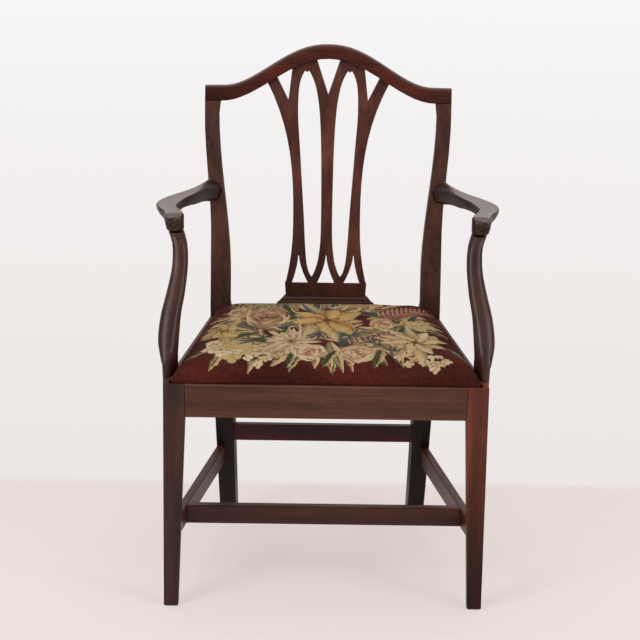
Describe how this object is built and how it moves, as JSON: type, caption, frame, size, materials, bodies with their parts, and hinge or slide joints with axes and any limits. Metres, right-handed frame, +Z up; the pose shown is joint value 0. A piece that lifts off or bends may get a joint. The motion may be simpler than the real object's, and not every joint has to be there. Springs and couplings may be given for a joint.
{
  "type": "shield back armchair",
  "caption": "Wooden open armchair with an arched crest, pierced splat, outswept arms, square tapered legs with stretchers and a needlework drop-in seat.",
  "frame": {"origin": "on the floor, in the middle of the chair's overall width and depth", "axes": "+Z up, +Y to the back of the chair, +X to the right as seen from the front"},
  "size_m": [0.6368, 0.5588, 0.9468],
  "materials": {
    "mahogany": "dark red-brown mahogany, french polished, rubbed lighter at the edges",
    "light_mahogany": "mahogany, polished, worn to a lighter red-brown",
    "beech": "bare beech, planed",
    "needlework": "wool needlework, flowers on a maroon ground",
    "horsehair": "curled horsehair pad",
    "jute": "woven jute",
    "steel": "dull steel woodscrew"
  },
  "bodies": {
    "chair_frame": {"front_leg_left": "light_mahogany", "front_leg_right": "light_mahogany", "rear_leg_left": "mahogany", "rear_leg_right": "mahogany", "crest_rail": "mahogany", "splat": "mahogany", "splat_shoe": "mahogany", "front_seat_rail": "mahogany", "side_seat_rail_left": "mahogany", "side_seat_rail_right": "mahogany", "back_seat_rail": "mahogany", "side_stretcher_left": "mahogany", "side_stretcher_right": "mahogany", "cross_stretcher": "mahogany", "rear_stretcher": "mahogany", "arm_left": "mahogany", "arm_right": "mahogany", "arm_support_left": "mahogany", "arm_support_right": "mahogany", "front_corner_block_left": "beech", "front_corner_block_right": "beech", "back_corner_block_left": "beech", "back_corner_block_right": "beech", "front_support_screw_left": "steel", "front_support_screw_right": "steel", "back_support_screw_left": "steel", "back_support_screw_right": "steel", "front_block_screw_left": "steel", "front_block_screw_right": "steel", "back_block_screw_left": "steel", "back_block_screw_right": "steel", "arm_screw_left": "steel", "arm_screw_right": "steel", "arm_screw_plug_left": "mahogany", "arm_screw_plug_right": "mahogany"},
    "drop_in_seat": {"seat_frame_front": "beech", "seat_frame_back": "beech", "seat_frame_side_left": "beech", "seat_frame_side_right": "beech", "front_to_back_web_1": "jute", "front_to_back_web_2": "jute", "front_to_back_web_3": "jute", "front_to_back_web_4": "jute", "cross_web_1": "jute", "cross_web_2": "jute", "cross_web_3": "jute", "seat_canvas": "jute", "seat_stuffing": "horsehair", "seat_cover": "needlework"}
  },
  "joints": [
    {"name": "seat_lift", "type": "slide", "parent": "chair_frame", "child": "drop_in_seat", "axis": [0, 0, 1], "range_m": [0, 0.025]}
  ]
}
